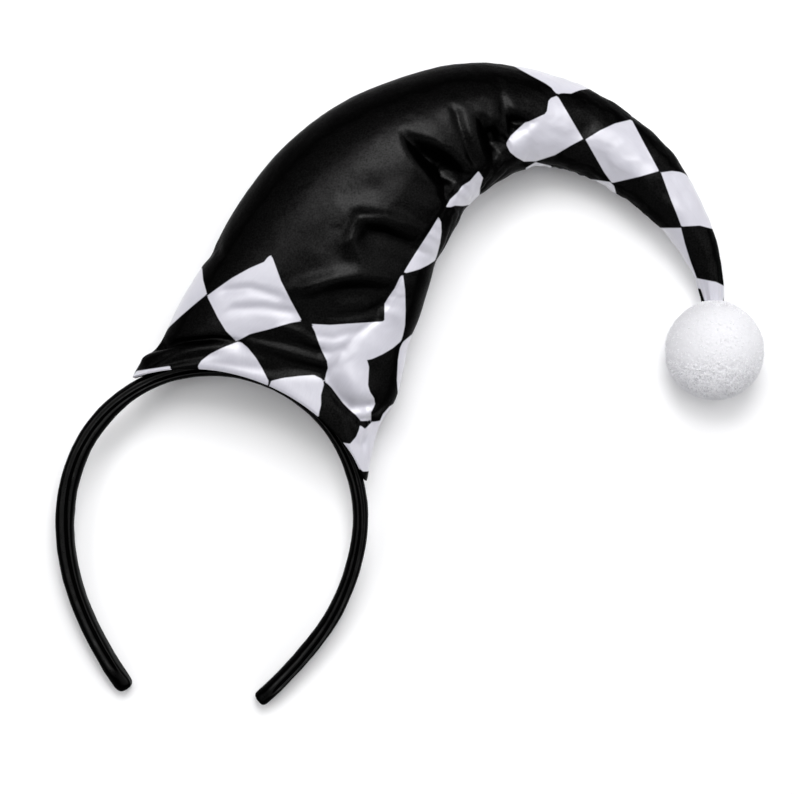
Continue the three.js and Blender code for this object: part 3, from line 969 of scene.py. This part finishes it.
path, angle = [], tip_angle
for arc in arcs:
    turns = angle - np.linspace(0, arc["sweep"], PATH_POINTS)
    outward = np.column_stack([np.sin(turns), np.cos(turns)])
    path.append(np.hstack([np.array(arc["centre"]) + arc["radius"] * outward, outward]))
    angle -= arc["sweep"]
path = np.vstack(path)
gone = np.concatenate([[0], np.cumsum(lengths(np.diff(path[:, :2], axis=0)))])
points = get_points(band) / MM
nearest = np.argmin(np.linalg.norm(points[:, None, :2] - path[None, :, :2], axis=2), axis=1)
out = ((points[:, :2] - path[nearest, :2]) * path[nearest, 2:]).sum(axis=1) / (BAND["thick"] / 2)
gone_share = gone[nearest] / gone[-1]
inner, outer, shift = (
    np.interp(gone_share, SLEEVE["at"], SLEEVE[key]) for key in ("inner", "outer", "groove"))
wanted = out * np.where(out < 0, inner, outer) + shift * np.clip(1 - out ** 2, 0, 1)
points[:, :2] = path[nearest, :2] + path[nearest, 2:] * wanted[:, None]
from_tip = np.minimum(gone[nearest], gone[-1] - gone[nearest])
upper_edge = points[:, 2] > 0
closed = (1 - smooth_step(from_tip, *TUCKED_END["closed"])) * upper_edge
points[:, 2] += SEAM_GROOVE["depth"] * groove_share(out * BAND["thick"] / 2) * closed
rounded = 1 - smooth_step(from_tip, *TUCKED_END["rounded"])
points[:, 2] *= 1 - TUCKED_END["drop"] * rounded * upper_edge
set_points(band, points * MM)
print("band after spinning:", len(band.data.vertices), "points")

# %% [markdown]
# The ends of the sleeve are tucked in and sewn. Each end ring is extruded three times, further out and
# smaller, and closed. The band is then turned into its place: it leans, and its crown lies higher
# than its tips. A little noise keeps the sleeve from looking moulded.

# %% Round the tips and put the band in its place
TIP_RINGS = as_rows("out size", (1.0, 0.95), (0.8, 0.83), (0.4, 0.6))
TIP_REACH = {1: 1.0, -1: 1.8}
ON_END_RING = 0.05 * MM
SLEEVE_NOISE = {"size_mm": 7, "height_mm": 0.35}

for side in (1, -1):
    end_middle = tip_middle * np.array([side, 1, 1]) * MM
    outwards = np.array([side * math.cos(tip_angle), -math.sin(tip_angle), 0])
    points = get_points(band)
    off_plane = np.abs((points - end_middle) @ outwards)
    near = lengths(points - end_middle) < BAND["deep"] * MM
    select_points(band, near & (off_plane < ON_END_RING))
    for ring_step in TIP_RINGS:
        def further(points, size=ring_step["size"], out=ring_step["out"]):
            middle = points.mean(axis=0)
            return middle + (points - middle) * size + outwards * out * TIP_REACH[side] * MM
        extrude_selection(band, further)
    with edit_mode():
        bpy.ops.mesh.edge_face_add()

placing = np.column_stack([across, crownward, faceward, arch_centre])
band.matrix_world = Matrix([*placing.tolist(), [0, 0, 0, 1]])
bpy.ops.object.transform_apply(location=True, rotation=True, scale=True)
with edit_mode():
    bpy.ops.mesh.select_all(action="SELECT")
    bpy.ops.mesh.normals_make_consistent(inside=False)
apply_modifiers(band, add_subdivision(band), add_noise(band, "sleeve noise", SLEEVE_NOISE))
bpy.ops.object.shade_smooth()
print("band:", len(band.data.polygons), "faces")
print("lowest point of the band in mm:", round(get_points(band)[:, 2].min() / MM, 2))

# %% [markdown]
# ## Black satin
#
# The sleeve is the same polyester satin without a print, pulled tight over the band's rounded edges.
# It gleams along the ridges that face the light and is black beside them. The grain is drawn about
# 0.7 mm wide, coarser than the real threads, so that it shows.

# %% Make the black satin
black_satin = new_material("black polyester satin")
sleeve_grain = add_node(black_satin, "TexNoise", {
    "Vector": add_node(black_satin, "TexCoord").outputs["Object"],
    "Scale": 1 / (MOTTLE_MM * MM), "Detail": 3.0, "Roughness": 0.6})
sleeve_dye = add_node(black_satin, "Mix", {
    "Factor": sleeve_grain, "A": linear("#000000"), "B": linear("#020202")}, data_type="RGBA")
sleeve_gloss = add_node(black_satin, "MapRange", {
    "Value": sleeve_grain, "From Min": 0.3, "From Max": 0.7, "To Min": 0.26, "To Max": 0.36})
sleeve_mirror = add_node(black_satin, "MapRange", {
    "Value": add_node(black_satin, "LayerWeight", {"Blend": 0.5}).outputs["Facing"],
    "From Min": 0.02, "From Max": 0.17, "To Min": 0.32, "To Max": 0.006})
sleeve_weave = add_node(black_satin, "Bump", {
    "Height": sleeve_grain, "Strength": 0.3, "Distance": WEAVE_MM * MM})
sleeve_satin = add_node(black_satin, "BsdfPrincipled", {
    "Base Color": sleeve_dye, "Roughness": sleeve_gloss,
    "Normal": sleeve_weave, "Specular IOR Level": sleeve_mirror})
add_node(black_satin, "OutputMaterial", {"Surface": sleeve_satin})
band.data.materials.append(black_satin)
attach(band, "root")
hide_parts("headband")
print("band dressed in", black_satin.name)

# %% [markdown]
# ## The felted ball
#
# The ball is wool or polyester felted round a core: nearly smooth, with a short nap that shows as fine
# grain where the light grazes it. An icosphere has even faces all over, which suits displacement:
# one coarse noise makes it slightly uneven, a fine one gives the nap, and a third raises it on the
# front side, through a vertex group. How far each point was raised is kept for the colour, which
# paints shade into the nap's hollows.

# %% Shape the ball
BALL_UNEVEN = as_rows(
    "name size_mm height_mm group",
    ("lumps", 7, 0.35, ""),
    ("fine nap", 0.9, 0.25, ""),
    ("raised nap", 1.1, 1.1, "raised"),
)
LEAST_RAISED = 0.08
FRONT_SIDE = (0.0, 0.75)

bpy.ops.mesh.primitive_ico_sphere_add(subdivisions=7, radius=BALL_RADIUS * MM, location=BALL_MIDDLE)
ball = bpy.context.object
ball.name = "felted_ball"
bpy.ops.object.transform_apply(location=True, rotation=True, scale=True)
frontward = -get_normals(ball)[:, 1]
raised_share = LEAST_RAISED + (1 - LEAST_RAISED) * smooth_step(frontward, *FRONT_SIDE)
weigh_points(ball, "raised", raised_share)
for noise in BALL_UNEVEN:
    before = lengths(get_points(ball) - BALL_MIDDLE)
    apply_modifiers(ball, add_noise(ball, noise["name"], noise, noise["group"]))
rise = lengths(get_points(ball) - BALL_MIDDLE) - before
# The rise is the mask of the painted shade in the felt's colour: the lower a point, the greyer.
set_values(ball, "nap", rise / (BALL_UNEVEN[-1]["height_mm"] * MM))
ball.vertex_groups.clear()
bpy.ops.object.shade_smooth()
print("ball:", len(ball.data.polygons), "faces")
print("nap in mm from", *np.round([rise.min() / MM, rise.max() / MM], 2))

# %% [markdown]
# Felting leaves fibre ends standing out. Hair particles aren't a mesh, so an export would lose them.
# Each fibre here is one small bent spike of seven faces instead, copied to points picked at random.
# They are most likely where the nap is raised and round the horn's tip, and the seed makes every run
# the same.

# %% Add loose fibres
FIBRE = {"count": 7000, "seed": 5, "shortest": 0.6, "longest": 1.3, "thick": 0.18, "taper": 0.7}
LOWER_LEG, UPPER_LEG = as_rows("lies stands share", (0.5, 0.6, 0.6), (0.9, 0.1, 0.5))
FIBRE_FACES = [
    (0, 1, 4, 3), (1, 2, 5, 4), (2, 0, 3, 5), (3, 4, 6), (4, 5, 6), (5, 3, 6), (0, 2, 1)]
FIBRE_NAP = 0.3
ROUND_THE_TIP = (0.85, 0.97)


def fibre_leg(start, leg):
    """Where one straight leg of each fibre ends."""
    return start + (lie * leg["lies"] + root_normals * leg["stands"]) * length * leg["share"]


random = np.random.default_rng(FIBRE["seed"])
by_tip = smooth_step(-frontward, *ROUND_THE_TIP)
likely = raised_share + by_tip
roots = random.choice(
    len(ball.data.vertices), FIBRE["count"], replace=False, p=likely / likely.sum())
root_points, root_normals = get_points(ball)[roots], get_normals(ball)[roots]
lie = np.cross(root_normals, random.normal(size=root_normals.shape))
lie /= lengths(lie)[:, None]
length = random.uniform(FIBRE["shortest"], FIBRE["longest"], FIBRE["count"])[:, None] * MM
side_step = np.cross(root_normals, lie) * FIBRE["thick"] * MM
bend = fibre_leg(root_points, LOWER_LEG)
end = fibre_leg(bend, UPPER_LEG)
sides = [-side_step, side_step, root_normals * FIBRE["thick"] * MM]
corners = [root_points + side for side in sides] + [bend + side * FIBRE["taper"] for side in sides]
corners = np.stack([*corners, end], axis=1)
fibre_mesh = bpy.data.meshes.new("felt_fibres")
fibre_mesh.from_pydata(
    corners.reshape(-1, 3).tolist(), [],
    [tuple(corner + corners.shape[1] * copy for corner in face)
     for copy in range(FIBRE["count"]) for face in FIBRE_FACES])
fibres = bpy.data.objects.new("felt_fibres", fibre_mesh)
scene.collection.objects.link(fibres)
# The fibres take the nap of the tips, so the painted shade leaves them the felt's own white.
set_values(fibres, "nap", np.full(len(fibre_mesh.vertices), FIBRE_NAP))
print("fibres:", FIBRE["count"])

# %% [markdown]
# ## White felt
#
# Felt has no gloss: it scatters light, and its nap catches it at the rim. The colour follows the nap
# that was kept with the mesh: painted shade makes it greyer in its hollows, and it keeps the felt's
# own white at its tips. A fine noise of about half a millimetre adds the grain as bump.

# %% Make the white felt
FELT_GRAIN_MM = 0.5
NAP_MM = 0.25

white_felt = new_material("white felt")
felt_grain = add_node(white_felt, "TexNoise", {
    "Vector": add_node(white_felt, "TexCoord").outputs["Object"],
    "Scale": 1 / (FELT_GRAIN_MM * MM), "Detail": 3.0, "Roughness": 0.65})
# Painted shade: the felt's colour is greyer where its nap lies low, in its hollows.
painted_nap_shade = add_node(white_felt, "MapRange", {
    "Value": add_node(white_felt, "Attribute", attribute_name="nap").outputs["Fac"],
    "From Min": -0.3, "From Max": 0.2})
felt_dye_and_painted_shade = add_node(white_felt, "Mix", {
    "Factor": painted_nap_shade, "A": linear("#b6b5ba"), "B": linear("#e8e8eb")}, data_type="RGBA")
felt_nap = add_node(white_felt, "Bump", {
    "Height": felt_grain, "Strength": 0.5, "Distance": NAP_MM * MM})
felt = add_node(white_felt, "BsdfPrincipled", {
    "Base Color": felt_dye_and_painted_shade, "Roughness": 0.95, "Normal": felt_nap,
    "Specular IOR Level": 0.2, "Sheen Weight": 0.2, "Sheen Roughness": 0.5})
add_node(white_felt, "OutputMaterial", {"Surface": felt})
for piece in (ball, fibres):
    piece.data.materials.append(white_felt)
    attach(piece, "root")
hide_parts("pompom")
print("ball and fibres dressed in", white_felt.name)
